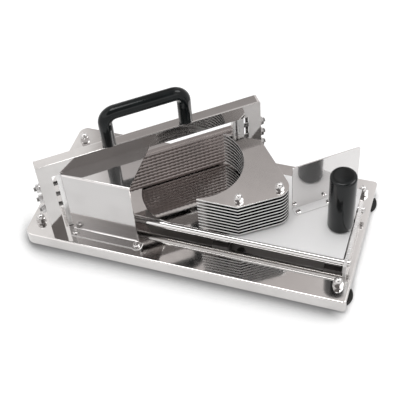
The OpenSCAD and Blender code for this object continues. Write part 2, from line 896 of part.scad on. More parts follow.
module push_grip() {
    r = grip_d / 2;
    color(black) at_grip() difference() {
        rotate_extrude() {
            square([r - grip_edge_r, grip_h]);
            translate([0, grip_edge_r]) square([r, grip_h - 2 * grip_edge_r]);
            for (z = [grip_edge_r, grip_h - grip_edge_r])
                translate([r - grip_edge_r, z]) circle(grip_edge_r);
        }
        translate([0, 0, -over]) cylinder(d = grip_screw_d + 2 * thread_gap, h = grip_screw_l + 2 + over);
    }
}

module grip_screw() {
    color(dark_steel) at_grip() translate([0, 0, -floor_t]) {
        cylinder(d = grip_screw_d, h = floor_t + grip_screw_l);
        translate([0, 0, -grip_screw_head_h])
            cylinder(d = grip_screw_hex / cos(30), h = grip_screw_head_h, $fn = 6);
    }
}

base_tray();
rubber_feet();
foot_studs();
foot_washers();
foot_acorn_nuts();
front_rod();
rear_rod();
left_rod_bracket();
right_rod_bracket();
rod_screws();
bracket_screws();
portal_frame();
frame_screws();
left_blade_bar();
right_blade_bar();
blade_pins();
tension_studs();
tension_washers();
tension_nuts();
carry_handle();
handle_screws();
corner_guard();
guard_screws();
carriage_plate();
block_screws();
stack_spacers();
stack_studs();
stack_washers();
stack_acorn_nuts();
stack_lock_nuts();
hand_shield();
shield_rivets();
push_grip();
grip_screw();
for (i = [1:4]) slide_block(i);
for (i = [1:blade_n]) blade(i);
for (i = [1:plate_n]) pusher_plate(i);
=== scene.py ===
# %% [markdown]
# # A hand-pushed slicer in polished steel
# The CAD model comes in as a fixed frame: every piece below is made in metres, in the same axes, so it
# lands where the CAD solid is. X runs along the tray, Y from front to back and Z up from the table. The
# box of the CAD model is kept, because the dressed model must not grow out of it.

# %% Load the frame
import json
from math import cos, pi, radians, sin, tan

import bpy
from mathutils import Matrix, Quaternion, Vector

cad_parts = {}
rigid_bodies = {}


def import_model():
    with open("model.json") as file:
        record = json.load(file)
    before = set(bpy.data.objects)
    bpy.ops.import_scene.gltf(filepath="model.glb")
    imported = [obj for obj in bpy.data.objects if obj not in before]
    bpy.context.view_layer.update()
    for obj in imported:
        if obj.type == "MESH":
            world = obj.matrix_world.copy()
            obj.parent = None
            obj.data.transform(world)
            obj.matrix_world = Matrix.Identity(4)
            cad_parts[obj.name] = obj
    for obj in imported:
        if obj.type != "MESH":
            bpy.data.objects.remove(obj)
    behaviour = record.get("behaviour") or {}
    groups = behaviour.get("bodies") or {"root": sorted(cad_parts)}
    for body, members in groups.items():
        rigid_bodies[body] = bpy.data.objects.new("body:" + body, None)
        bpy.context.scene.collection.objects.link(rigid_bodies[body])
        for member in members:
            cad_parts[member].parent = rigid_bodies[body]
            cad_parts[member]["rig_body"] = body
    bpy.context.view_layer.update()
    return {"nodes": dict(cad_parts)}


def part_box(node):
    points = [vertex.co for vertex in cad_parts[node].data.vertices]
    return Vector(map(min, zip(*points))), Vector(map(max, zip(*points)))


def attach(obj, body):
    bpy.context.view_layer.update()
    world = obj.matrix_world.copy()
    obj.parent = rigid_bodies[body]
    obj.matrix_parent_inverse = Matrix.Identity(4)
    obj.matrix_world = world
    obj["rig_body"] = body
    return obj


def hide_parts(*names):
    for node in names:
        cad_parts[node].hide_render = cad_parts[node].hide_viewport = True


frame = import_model()
cad_nodes = frame["nodes"]
mm = 0.001


def in_mm(values):
    return [round(value / mm, 1) for value in values]


# %% [markdown]
# ## Camera
# The picture was taken with a long lens from the front right, looking down at almost fifty degrees, with
# the camera rolled a little. A camera can be placed by eye, but then nobody can tell later why it stands
# there. So it is placed by the point it aims at on the tray, its distance and its three angles.

# %% Camera
aim = Vector((-6.18, 10.88, 22.0)) * mm
camera_distance = 1260.3 * mm
camera_azimuth = radians(21.95)
camera_elevation = radians(49.38)
camera_roll = radians(-5.63)
lens_mm = 84.83
sensor_mm = 36.0

upright = Quaternion((0, 0, 1), camera_azimuth) @ Quaternion((1, 0, 0), pi / 2 - camera_elevation)
rolled = upright @ Quaternion((0, 0, 1), camera_roll)
camera_place = aim + upright @ Vector((0, 0, camera_distance))
bpy.ops.object.camera_add(location=camera_place, rotation=rolled.to_euler())
camera = bpy.context.object
camera.name = "portrait_camera"
camera.data.lens = lens_mm
camera.data.sensor_width = sensor_mm
bpy.context.scene.camera = camera
bpy.context.scene.view_settings.view_transform = "Standard"
print("camera at", in_mm(camera.location), "mm")

# %% [markdown]
# ## Nodes by hand
# Materials, floor and world are all node trees. Their nodes could be wired one by one, but the same few
# steps come back all the time. So these helpers add a node with its settings, plug a link or a plain
# value into a socket, and make what every tree here needs: a stretched range, a blend of two colours and
# a sum. The Mix node keeps its colour sockets behind those for numbers, so their places get names.

# %% Node helpers
mix_first = 6
mix_second = 7
mix_result = 2


def empty_tree(owner):
    owner.use_nodes = True
    owner.node_tree.nodes.clear()
    return owner.node_tree


def add_node(tree, kind, values=None, **settings):
    made = tree.nodes.new(kind)
    for name, value in settings.items():
        setattr(made, name, value)
    for name, value in (values or {}).items():
        made.inputs[name].default_value = value
    return made


def plug(tree, source, socket):
    if isinstance(source, bpy.types.NodeSocket):
        tree.links.new(source, socket)
    else:
        socket.default_value = source


def map_range(tree, source, low, high, to_low=0.0, to_high=1.0):
    values = {"From Min": low, "From Max": high, "To Min": to_low, "To Max": to_high}
    made = add_node(tree, "ShaderNodeMapRange", values, interpolation_type="SMOOTHSTEP")
    plug(tree, source, made.inputs["Value"])
    return made.outputs["Result"]


def blend_colours(tree, mask, first, second):
    made = add_node(tree, "ShaderNodeMix", data_type="RGBA")
    plug(tree, mask, made.inputs["Factor"])
    plug(tree, first, made.inputs[mix_first])
    plug(tree, second, made.inputs[mix_second])
    return made.outputs[mix_result]


def blend_values(tree, mask, first, second):
    made = add_node(tree, "ShaderNodeMix", data_type="FLOAT")
    plug(tree, mask, made.inputs["Factor"])
    plug(tree, first, made.inputs["A"])
    plug(tree, second, made.inputs["B"])
    return made.outputs["Result"]


def compute(tree, operation, first, second):
    made = add_node(tree, "ShaderNodeMath", operation=operation)
    plug(tree, first, made.inputs[0])
    plug(tree, second, made.inputs[1])
    return made.outputs[0]


# %% Node helpers for places and rays
def object_coordinates(tree):
    return add_node(tree, "ShaderNodeTexCoord").outputs["Object"]


def split_coordinates(tree):
    apart = add_node(tree, "ShaderNodeSeparateXYZ")
    plug(tree, object_coordinates(tree), apart.inputs[0])
    return apart.outputs


def seen_directly(tree, ray):
    return compute(tree, "MAXIMUM", ray.outputs["Is Camera Ray"], ray.outputs["Is Transmission Ray"])


# %% [markdown]
# ## Floor
# The slicer stands on plain white paper. A curved backdrop would do, but one large plane is enough,
# because the world behind it is white too. It scatters light as paper does, so the shadow stays on it. To
# the camera it is whiter and gives off a little light, so that it comes out white in the picture without
# more light on the object. Close to the skirt, where little of the room reaches it, a painted shadow makes
# the colour that the camera sees deeper, set by ambient occlusion: that soft dark rim shows the tray
# standing on something. The painted shadow lies in front of the tray, and fades away at its right end and
# towards the back.

# %% Floor sheet
floor_size = 14.0
floor_drop = 0.1 * mm

bpy.ops.mesh.primitive_plane_add(size=floor_size, location=(0, 0, -floor_drop))
floor = bpy.context.object
floor.name = "pale_floor"
print("floor of", floor_size, "m")

# %% Floor paper
floor_glow = 0.16
mirrored_glow = 0.08
floor_colour = (0.80, 0.80, 0.80, 1)
seen_colour = (0.97, 0.97, 0.97, 1)
painted_shadow_colour = (0.16, 0.157, 0.16, 1)
rim_reach = 60 * mm
rim_samples = 16
rim_full = 0.58
rim_clear = 0.965
rim_front = -100 * mm
rim_back = -40 * mm
rim_right = 192 * mm
rim_end = 228 * mm

paper = bpy.data.materials.new("pale_paper")
tree = empty_tree(paper)
ray = add_node(tree, "ShaderNodeLightPath")
seen_light = compute(tree, "MULTIPLY", seen_directly(tree, ray), floor_glow)
mirrored_light = compute(tree, "MULTIPLY", ray.outputs["Is Glossy Ray"], mirrored_glow)
glow = add_node(tree, "ShaderNodeEmission")
plug(tree, compute(tree, "MAXIMUM", seen_light, mirrored_light), glow.inputs["Strength"])
# Painted shadow: ambient occlusion darkens the floor colour that the camera sees, near the skirt and only
# in front of the tray.
open_sky = add_node(tree, "ShaderNodeAmbientOcclusion", {"Distance": rim_reach}, samples=rim_samples)
clear = map_range(tree, open_sky.outputs["AO"], rim_full, rim_clear)
place = split_coordinates(tree)
clear = compute(tree, "MAXIMUM", clear, map_range(tree, place["Y"], rim_front, rim_back))
clear = compute(tree, "MAXIMUM", clear, map_range(tree, place["X"], rim_right, rim_end))
painted_shadow_tone = blend_colours(tree, clear, painted_shadow_colour, seen_colour)
plain_tone = blend_colours(tree, ray.outputs["Is Glossy Ray"], floor_colour, seen_colour)
matt = add_node(tree, "ShaderNodeBsdfDiffuse")
plug(tree, blend_colours(tree, ray.outputs["Is Camera Ray"], plain_tone, painted_shadow_tone), matt.inputs["Color"])
both = add_node(tree, "ShaderNodeAddShader")
plug(tree, matt.outputs[0], both.inputs[0])
plug(tree, glow.outputs[0], both.inputs[1])
plug(tree, both.outputs[0], add_node(tree, "ShaderNodeOutputMaterial").inputs["Surface"])
floor.data.materials.append(paper)
print("floor paper of", len(tree.nodes), "nodes")

# %% [markdown]
# ## Studio
# Polished steel has hardly any colour of its own: it shows the room. So the room matters as much as the
# metal. It could be built from glowing planes, but a world that is set by direction needs only a few dot
# products, and nothing of it can get into the picture. First comes a warm grey back wall that gets
# lighter towards the ceiling.

# %% Back wall
wall_steps = ((0.0, 0.71), (0.40, 0.57), (0.62, 0.38), (0.70, 0.43),
              (0.755, 0.64), (0.84, 0.70), (0.90, 0.90))
wall_tint = Vector((1.0, 0.945, 0.925))
upwards = Vector((0, 0, 1))

room = bpy.data.worlds.new("studio_room")
bpy.context.scene.world = room
room_tree = empty_tree(room)
towards = add_node(room_tree, "ShaderNodeTexCoord").outputs["Generated"]


def along(direction):
    made = add_node(room_tree, "ShaderNodeVectorMath", operation="DOT_PRODUCT")
    plug(room_tree, towards, made.inputs[0])
    made.inputs[1].default_value = direction
    return made.outputs["Value"]


wall = add_node(room_tree, "ShaderNodeValToRGB")
steps = wall.color_ramp.elements
while len(steps) < len(wall_steps):
    steps.new(1.0)
for step, (height, level) in zip(steps, wall_steps):
    step.position = height
    step.color = (*(wall_tint * level), 1)
plug(room_tree, along(upwards), wall.inputs[0])
print("wall of", len(steps), "steps")

# %% [markdown]
# Over the wall lie six layers, each with a soft mask: a white screen on the left, a paler one on the
# right, a bright front, a dark patch where the camera stands, a grey ceiling, and one small strong
# softbox on the right that puts sparks on round pieces. The front and the patch end above the horizon.

# %% Screens, front, patch, ceiling and softbox
left_edge = radians(30.4)
left_soft = 0.022
left_level = (1.10, 1.08, 1.07, 1)
right_edge = radians(8.5)
right_soft = 0.04
right_level = (1.06, 1.035, 1.03, 1)
front_from = 0.10
front_full = 0.40
front_foot = 0.18
front_waist = 0.32
front_level = (1.80, 1.77, 1.76, 1)
patch_towards = Vector((0.16, -0.57, 0.80)).normalized()
patch_from = cos(radians(36))
patch_full = cos(radians(26))
patch_foot = 0.40
patch_waist = 0.50
patch_level = (0.30, 0.281, 0.276, 1)
ceiling_from = 0.90
ceiling_full = 0.955
ceiling_level = (0.62, 0.61, 0.61, 1)
softbox_towards = Vector((0.566, 0.325, 0.759)).normalized()
softbox_from = cos(radians(17))
softbox_full = cos(radians(13))
softbox_level = (6.0, 6.0, 6.0, 1)


def facing(direction, low, high):
    return map_range(room_tree, along(direction), low, high)


left_side = Vector((-cos(left_edge), -sin(left_edge), 0))
right_side = Vector((cos(right_edge), sin(right_edge), 0))
front = compute(room_tree, "MULTIPLY", facing(Vector((0, -1, 0)), front_from, front_full),
                facing(upwards, front_foot, front_waist))
patch = compute(room_tree, "MULTIPLY", facing(patch_towards, patch_from, patch_full),
                facing(upwards, patch_foot, patch_waist))
layers = ((facing(left_side, -left_soft, left_soft), left_level),
          (facing(right_side, -right_soft, right_soft), right_level),
          (front, front_level),
          (patch, patch_level),
          (facing(upwards, ceiling_from, ceiling_full), ceiling_level),
          (facing(softbox_towards, softbox_from, softbox_full), softbox_level))
view = wall.outputs[0]
for mask, level in layers:
    view = blend_colours(room_tree, mask, view, level)
print("room with", len(layers), "layers over the wall")

# %% [markdown]
# Only mirrors see this room. The camera itself sees plain white, and matt surfaces get an even light, so
# that their colours come out about as they are written.

# %% What each kind of ray sees
fill_level = 0.62
white = (1, 1, 1, 1)


def backdrop(colour, strength):
    made = add_node(room_tree, "ShaderNodeBackground", {"Strength": strength})
    plug(room_tree, colour, made.inputs["Color"])
    return made.outputs[0]


def mix_backdrops(mask, first, second):
    made = add_node(room_tree, "ShaderNodeMixShader")
    for number, source in enumerate((mask, first, second)):
        plug(room_tree, source, made.inputs[number])
    return made.outputs[0]


ray = add_node(room_tree, "ShaderNodeLightPath")
by_gloss = mix_backdrops(ray.outputs["Is Glossy Ray"], backdrop(white, fill_level), backdrop(view, 1.0))
by_eye = mix_backdrops(seen_directly(room_tree, ray), by_gloss, backdrop(white, 1.0))
plug(room_tree, by_eye, add_node(room_tree, "ShaderNodeOutputWorld").inputs["Surface"])
print("even light of", fill_level, "for matt surfaces")

# %% [markdown]
# ## Key light
# One wide lamp stands almost straight above the tray. An area lamp would be brighter at its near end, so
# it is a sun lamp with a wide disc: the light is as strong at both ends of the tray, and the shadow in
# front of the skirt has a soft edge.

# %% Key light
key_from = Vector((-0.10, -0.05, 0.99))
key_strength = 1.15
key_width = radians(30)

bpy.ops.object.light_add(type="SUN", rotation=key_from.to_track_quat("Z", "Y").to_euler())
key = bpy.context.object
key.name = "key_light"
key.data.energy = key_strength
key.data.angle = key_width
print("key light from", [round(v, 2) for v in key_from])

# %% [markdown]
# ## Shared surface effects
# Four effects come back on many pieces: fine lines that the polishing wheel leaves, soft smudges from
# hands, slow waves in a sheet that is never quite flat, and the grain of moulded plastic. Each could be
# copied into every material, but as a node group with its own inputs it is built once and set for each
# finish. The groups read Object coordinates, in metres, so the scale is the real one and no UV map is
# needed.


# %% Group helpers
def new_group(name, inputs, output):
    group = bpy.data.node_groups.new(name, "ShaderNodeTree")
    for label, value in inputs.items():
        socket = group.interface.new_socket(label, in_out="INPUT", socket_type="NodeSocketFloat")
        socket.default_value = value
    group.interface.new_socket(output, in_out="OUTPUT", socket_type="NodeSocketFloat")
    given = group.nodes.new("NodeGroupInput")
    result = group.nodes.new("NodeGroupOutput")
    return group, given, result


def noise(tree, vector, scale, detail, roughness=0.5):
    values = {"Detail": detail, "Roughness": roughness}
    made = add_node(tree, "ShaderNodeTexNoise", values)
    plug(tree, vector, made.inputs["Vector"])
    plug(tree, scale, made.inputs["Scale"])
    return made.outputs["Fac"]


# %% Polishing lines
lines_inputs = {"Along": 6.0, "Across": 900.0, "Turn": 0.0}
lines_detail = 3.0
lines_roughness = 0.65
lines_span = (0.36, 0.66)

lines_group, given, result = new_group("polishing_lines", lines_inputs, "Lines")
stretch = add_node(lines_group, "ShaderNodeCombineXYZ")
for axis, source in (("X", "Along"), ("Y", "Across"), ("Z", "Across")):
    plug(lines_group, given.outputs[source], stretch.inputs[axis])
about_z = add_node(lines_group, "ShaderNodeCombineXYZ")
plug(lines_group, given.outputs["Turn"], about_z.inputs["Z"])
unturned = add_node(lines_group, "ShaderNodeVectorRotate", rotation_type="EULER_XYZ", invert=True)
plug(lines_group, object_coordinates(lines_group), unturned.inputs["Vector"])
plug(lines_group, about_z.outputs[0], unturned.inputs["Rotation"])
stretched = add_node(lines_group, "ShaderNodeVectorMath", operation="MULTIPLY")
plug(lines_group, unturned.outputs[0], stretched.inputs[0])
plug(lines_group, stretch.outputs[0], stretched.inputs[1])
streaks = noise(lines_group, stretched.outputs[0], 1.0, lines_detail, lines_roughness)
plug(lines_group, map_range(lines_group, streaks, *lines_span), result.inputs["Lines"])
print("group of lines with inputs", list(lines_inputs))


# %% Smudges, waves and grain
def cloud_group(name, output, scale, detail, roughness=0.5, span=None):
    group, given, result = new_group(name, {"Scale": scale}, output)
    cloud = noise(group, object_coordinates(group), given.outputs["Scale"], detail, roughness)
    if span:
        cloud = map_range(group, cloud, *span)
    plug(group, cloud, result.inputs[output])
    return group


smudge_group = cloud_group("hand_smudges", "Smudge", 24.0, detail=4.0, roughness=0.55, span=(0.36, 0.70))
waves_group = cloud_group("sheet_waves", "Waves", 18.0, detail=1.0)
grain_group = cloud_group("moulded_grain", "Grain", 2200.0, detail=2.0, span=(0.30, 0.70))
print("groups:", [group.name for group in bpy.data.node_groups])

# %% [markdown]
# ## Metal finishes
# All metal here is stainless or plated steel, and what sets one piece apart from the next is how far it
# was polished. So one recipe makes them all: two close tones that smudges blend, a roughness that smudges
# and polishing lines raise, and a bump from the slow waves and the lines. The three numbers of a
# roughness are its value where the metal is clean, its value where it is smudged, and what the lines add.


# %% Recipe helpers
def effect(tree, group, **values):
    made = add_node(tree, "ShaderNodeGroup", node_tree=group)
    for name, value in values.items():
        made.inputs[name].default_value = value
    return made.outputs[0]


def shader_of(finish):
    return finish.node_tree.nodes["Principled BSDF"]


def new_finish(name, smudge_scale, clean, rubbed):
    finish = bpy.data.materials.new(name)
    finish.use_nodes = True
    smudge = effect(finish.node_tree, smudge_group, Scale=smudge_scale)
    tone = blend_colours(finish.node_tree, smudge, clean, rubbed)
    plug(finish.node_tree, tone, shader_of(finish).inputs["Base Color"])
    return finish, smudge


def roughen(finish, smudge, marks, rough):
    tree = finish.node_tree
    smudged = map_range(tree, smudge, 0.0, 1.0, rough[0], rough[1])
    marked = compute(tree, "MULTIPLY", marks, rough[2])
    plug(tree, compute(tree, "ADD", smudged, marked), shader_of(finish).inputs["Roughness"])


def raise_surface(finish, height):
    bump = add_node(finish.node_tree, "ShaderNodeBump", {"Strength": 1.0, "Distance": 1.0})
    plug(finish.node_tree, height, bump.inputs["Height"])
    plug(finish.node_tree, bump.outputs["Normal"], shader_of(finish).inputs["Normal"])


def metal(name, clean, rubbed, rough, lines, wave_height, line_height, smudge_scale=24.0, turned=0.0):
    finish, smudge = new_finish(name, smudge_scale, clean, rubbed)
    tree = finish.node_tree
    shader_of(finish).inputs["Metallic"].default_value = 1.0
    streak = effect(tree, lines_group, Along=lines[0], Across=lines[1], Turn=turned)
    roughen(finish, smudge, streak, rough)
    waves = compute(tree, "MULTIPLY", effect(tree, waves_group), wave_height)
    scratches = compute(tree, "MULTIPLY", streak, line_height)
    raise_surface(finish, compute(tree, "ADD", waves, scratches))
    return finish


# %% [markdown]
# Sheets come first. Lines run along the tray, and on pieces of the frame, which stands at an angle across
# it, they are turned with the frame. The faces inside the stack of plates get a darker colour than its top:
# a painted shade for the dim gaps between the plates.

# %% Finishes of the sheets
frame_turn = radians(37.6)
micron = 0.000001
long_lines = (5.0, 1400.0)
short_lines = (40.0, 2600.0)
mirror_rough = (0.045, 0.085, 0.03)
plate_rough = (0.09, 0.15, 0.04)
mirror_clean = (0.64, 0.625, 0.615, 1)
mirror_rubbed = (0.59, 0.575, 0.565, 1)

polished_sheet = metal("polished_sheet", mirror_clean, mirror_rubbed, mirror_rough,
                       long_lines, 60 * micron, 0.2 * micron)
frame_sheet = metal("frame_sheet", mirror_clean, mirror_rubbed, mirror_rough,
                    long_lines, 50 * micron, 0.2 * micron, turned=frame_turn)
guard_sheet = metal("guard_sheet", (0.62, 0.607, 0.602, 1), (0.58, 0.567, 0.562, 1), (0.05, 0.09, 0.03),
                    long_lines, 60 * micron, 0.2 * micron)
shield_sheet = metal("shield_sheet", (0.83, 0.815, 0.81, 1), (0.79, 0.775, 0.77, 1), (0.04, 0.07, 0.02),
                     long_lines, 40 * micron, 0.1 * micron, turned=frame_turn)
bracket_sheet = metal("bracket_sheet", (0.88, 0.87, 0.865, 1), (0.82, 0.81, 0.805, 1), (0.20, 0.28, 0.05),
                      short_lines, 20 * micron, 0.4 * micron)
mill_sheet = metal("mill_sheet", (0.46, 0.445, 0.435, 1), (0.40, 0.385, 0.375, 1), (0.42, 0.52, 0.08),
                   long_lines, 20 * micron, 0.6 * micron)
carriage_sheet = metal("carriage_sheet", (0.66, 0.645, 0.635, 1), (0.61, 0.60, 0.59, 1), (0.04, 0.08, 0.03),
                       long_lines, 40 * micron, 0.3 * micron)
pusher_sheet = metal("pusher_sheet", mirror_clean, mirror_rubbed, plate_rough,
                     long_lines, 40 * micron, 0.4 * micron)
# Painted shade: the plates inside the stack get this darker tone for the dim gaps between them.
painted_shade_sheet = metal("painted_shade_sheet", (0.32, 0.312, 0.308, 1), (0.27, 0.263, 0.26, 1), plate_rough,
                    long_lines, 10 * micron, 0.3 * micron)
print("sheets:", polished_sheet.name, "to", painted_shade_sheet.name)

# %% [markdown]
# Edges, blades, bars, rods and fasteners follow. Brushed and ground faces scatter part of the light, so
# they count as less than a full mirror: their share is a plain number on the shader's own socket.

# %% Finishes of edges, blades, bars, rods and fasteners
cut_edge = metal("cut_edge", (0.84, 0.835, 0.83, 1), (0.76, 0.75, 0.745, 1), (0.30, 0.40, 0.10),
                 short_lines, 4 * micron, 1.0 * micron, smudge_scale=90.0)
# The blades get a darker, warmer tone than the sheets: a painted shade for the deep pack between them.
shaded_blade_strip = metal("shaded_blade_strip", (0.46, 0.427, 0.418, 1), (0.38, 0.353, 0.345, 1), (0.12, 0.20, 0.06),
                    long_lines, 10 * micron, 0.5 * micron, turned=frame_turn)
ground_bar = metal("ground_bar", (0.92, 0.915, 0.91, 1), (0.85, 0.845, 0.84, 1), (0.18, 0.26, 0.06),
                   short_lines, 10 * micron, 0.6 * micron, turned=frame_turn)
rod_chrome = metal("rod_chrome", (0.67, 0.665, 0.66, 1), (0.63, 0.625, 0.62, 1), (0.03, 0.06, 0.02),
                   long_lines, 6 * micron, 0.1 * micron)
bright_fastener = metal("bright_fastener", (0.60, 0.59, 0.585, 1), (0.52, 0.51, 0.505, 1),
                        (0.07, 0.14, 0.04), short_lines, 4 * micron, 0.3 * micron, smudge_scale=140.0)
rolled_thread = metal("rolled_thread", (0.44, 0.435, 0.43, 1), (0.34, 0.335, 0.33, 1), (0.22, 0.34, 0.05),
                      short_lines, 3 * micron, 0.5 * micron, smudge_scale=220.0)
mirror_share = {cut_edge: 0.35, ground_bar: 0.6, bracket_sheet: 0.55, mill_sheet: 0.3, guard_sheet: 0.92,
                shield_sheet: 0.85}
for finish, share in mirror_share.items():
    shader_of(finish).inputs["Metallic"].default_value = share
print("other metal:", cut_edge.name, "to", rolled_thread.name)

# %% [markdown]
# The carriage plate is polished where it slides under the blades, but satin where the hand works: there
# it is blasted, so that fingerprints don't show. It could be cut in two pieces, but the real one is one
# sheet. So a mask along X moves from one finish to the other under the stack, where nobody sees the
# change, and raises the roughness and lowers the mirror share of the metal.

# %% Satin end of the carriage plate
satin_from = 40 * mm
satin_full = 70 * mm
satin_rough = 0.46
satin_metal = 0.10
satin_colour = (0.83, 0.825, 0.825, 1)

for finish in (carriage_sheet, mill_sheet):
    tree = finish.node_tree
    shader = shader_of(finish)
    satin = map_range(tree, split_coordinates(tree)["X"], satin_from, satin_full)
    other_rough = shader.inputs["Roughness"].links[0].from_socket
    plug(tree, blend_values(tree, satin, other_rough, satin_rough), shader.inputs["Roughness"])
    other_colour = shader.inputs["Base Color"].links[0].from_socket
    plug(tree, blend_colours(tree, satin, other_colour, satin_colour), shader.inputs["Base Color"])
    other_metal = shader.inputs["Metallic"].default_value
    plug(tree, map_range(tree, satin, 0.0, 1.0, other_metal, satin_metal), shader.inputs["Metallic"])
print("satin from", satin_from / mm, "to", satin_full / mm, "mm")

# %% [markdown]
# ## Plastic and rubber
# Handle and grip are glossy black mouldings with a cool sheen, the shoes on the rods are a duller
# plastic, and the feet are rubber. A plain black would look like a hole in the picture, so each gets two
# close dark tones, a roughness that hands have changed, and the grain of its mould. How strongly each
# mirrors the room is set on the shader itself.

# %% Plastic and rubber
touch_scale = 36.0


def plastic(name, dark, pale, rough, grain_scale, grain_height, shine):
    finish, smudge = new_finish(name, touch_scale, dark, pale)
    grain = effect(finish.node_tree, grain_group, Scale=grain_scale)
    roughen(finish, smudge, grain, rough)
    shader_of(finish).inputs["Specular IOR Level"].default_value = shine
    raise_surface(finish, compute(finish.node_tree, "MULTIPLY", grain, grain_height))
    return finish


gloss_black = plastic("gloss_black", (0.004, 0.0055, 0.006, 1), (0.007, 0.010, 0.0105, 1),
                      (0.06, 0.11, 0.03), 2200.0, 1 * micron, 0.22)
grip_black = plastic("grip_black", (0.002, 0.0030, 0.0034, 1), (0.004, 0.006, 0.0066, 1),
                     (0.08, 0.13, 0.03), 2200.0, 1 * micron, 0.30)
shoe_black = plastic("shoe_black", (0.13, 0.125, 0.123, 1), (0.16, 0.153, 0.15, 1),
                     (0.42, 0.52, 0.08), 1600.0, 6 * micron, 0.4)
foot_rubber = plastic("foot_rubber", (0.010, 0.010, 0.010, 1), (0.018, 0.017, 0.016, 1),
                      (0.62, 0.75, 0.10), 900.0, 14 * micron, 0.3)
print("plastics:", gloss_black.name, grip_black.name, shoe_black.name, foot_rubber.name)

# %% [markdown]
# ## Dressing helpers
# A finished piece gets its material and the body it rides on, and the CAD node it stands for is hidden.
# It sits at the origin with its place in its mesh, as the CAD nodes do. Operators act on all that is
# selected, so the helpers first clear the selection and take the piece in hand.


def start_clean():
    if bpy.context.object and bpy.context.object.mode != "OBJECT":
        bpy.ops.object.mode_set(mode="OBJECT")
    bpy.ops.object.select_all(action="DESELECT")


def take(piece):
    start_clean()
    piece.select_set(True)
    bpy.context.view_layer.objects.active = piece


def edit_all(piece):
    take(piece)
    bpy.ops.object.mode_set(mode="EDIT")
    bpy.ops.mesh.select_all(action="SELECT")


def dress(piece, finish, node):
    piece.data.materials.clear()
    piece.data.materials.append(finish)
    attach(piece, cad_nodes[node]["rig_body"])
    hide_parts(node)
    return piece


def copy_of(mesh, name, place=Matrix.Identity(4)):
    own = mesh.copy()
    own.transform(place)
    piece = bpy.data.objects.new(name, own)
    bpy.context.scene.collection.objects.link(piece)
    return piece


def lifted_copies(first, kind, count, pitch):
    for number in range(2, count + 1):
        node = "%s_%d" % (kind, number)
        lift = Matrix.Translation((0, 0, (number - 1) * pitch))
        yield node, copy_of(first.data, node + "_soft", lift)


def throw_away(piece):
    bpy.data.objects.remove(piece)


# %% [markdown]
# Real sheet has no knife edges. The sheets could be folded anew from planes, but their CAD shapes are
# right and only their edges are too sharp. So a copy of a CAD sheet is merged, because the CAD mesh is
# loose triangles, its flat faces are made whole again, and a bevel gives its edges a small round that
# catches the light. Weighted normals then keep the large faces dead flat, so that they mirror without a
# bulge.

# %% Edge helpers
weld_gap = 0.002 * mm
flat_angle = radians(0.5)
level_gap = 0.01 * mm


def apply_modifier(piece, kind, **settings):
    take(piece)
    made = piece.modifiers.new(kind.lower(), kind)
    for name, value in settings.items():
        setattr(made, name, value)
    bpy.ops.object.modifier_apply(modifier=made.name)


def shade(piece, degrees):
    take(piece)
    bpy.ops.object.shade_smooth_by_angle(angle=radians(degrees))
    return piece


def smooth(piece, degrees=38):
    apply_modifier(shade(piece, degrees), "WEIGHTED_NORMAL", keep_sharp=True, weight=100)
    return piece


def round_edges(piece, width, steps=2, degrees=40):
    apply_modifier(piece, "BEVEL", width=width, segments=steps, limit_method="ANGLE",
                   angle_limit=radians(degrees))
    return piece


def merged_copy(node):
    piece = copy_of(cad_nodes[node].data, node + "_soft")
    edit_all(piece)
    bpy.ops.mesh.remove_doubles(threshold=weld_gap)
    bpy.ops.mesh.customdata_custom_splitnormals_clear()
    bpy.ops.mesh.dissolve_limited(angle_limit=flat_angle)
    bpy.ops.object.mode_set(mode="OBJECT")
    return piece


# %% Helpers for chosen edges and points
def choose(piece, kind, wanted):
    edit_all(piece)
    bpy.ops.mesh.select_mode(type=kind)
    bpy.ops.mesh.select_all(action="DESELECT")
    bpy.ops.object.mode_set(mode="OBJECT")
    for part in piece.data.edges if kind == "EDGE" else piece.data.vertices:
        part.select = wanted(part)
    bpy.ops.object.mode_set(mode="EDIT")


def fold_top(piece, radius, steps=4):
    spots = piece.data.vertices
    top = max(spot.co.z for spot in spots) - level_gap
    on_top = [spot.co.z > top for spot in spots]
    choose(piece, "EDGE", lambda edge: all(on_top[end] for end in edge.vertices))
    bpy.ops.mesh.bevel(offset=radius, segments=steps, affect="EDGES")
    bpy.ops.object.mode_set(mode="OBJECT")
    return piece


def soft_sheet(node, width, fold=0.0):
    piece = merged_copy(node)
    if fold:
        fold_top(piece, fold)
    return smooth(round_edges(piece, width))


# %% [markdown]
# ## Sheet pieces, shoes and screws
# Tray, frame, guard, shield, brackets and carriage plate are folded or cut sheet. Their shapes come from
# the CAD model, and only their edges are worked over. The shoes on the rods and the button-head screws
# are treated in the same way, each with the edge that its making leaves. The underside of the carriage
# plate is left as the mill rolled it, the edges of the guard are cut and brushed, and the foot of the
# shield is satin like the plate it stands on: those faces get a second finish.

# %% Faces with a second finish
steep = 0.6
guard_foot_top = 24.0 * mm
guard_top_edge = 124.4 * mm
shield_foot_top = 55.0 * mm


def second_finish(piece, finish, chosen):
    piece.data.materials.append(finish)
    for face in piece.data.polygons:
        if chosen(face):
            face.material_index = 1


def is_upright(face):
    return abs(face.normal.z) < steep


def is_cut(face):
    return is_upright(face) and not guard_foot_top < face.center.z < guard_top_edge


def is_underside(face):
    return face.normal.z < -steep


def is_foot(face):
    return face.normal.z > steep and face.center.z < shield_foot_top


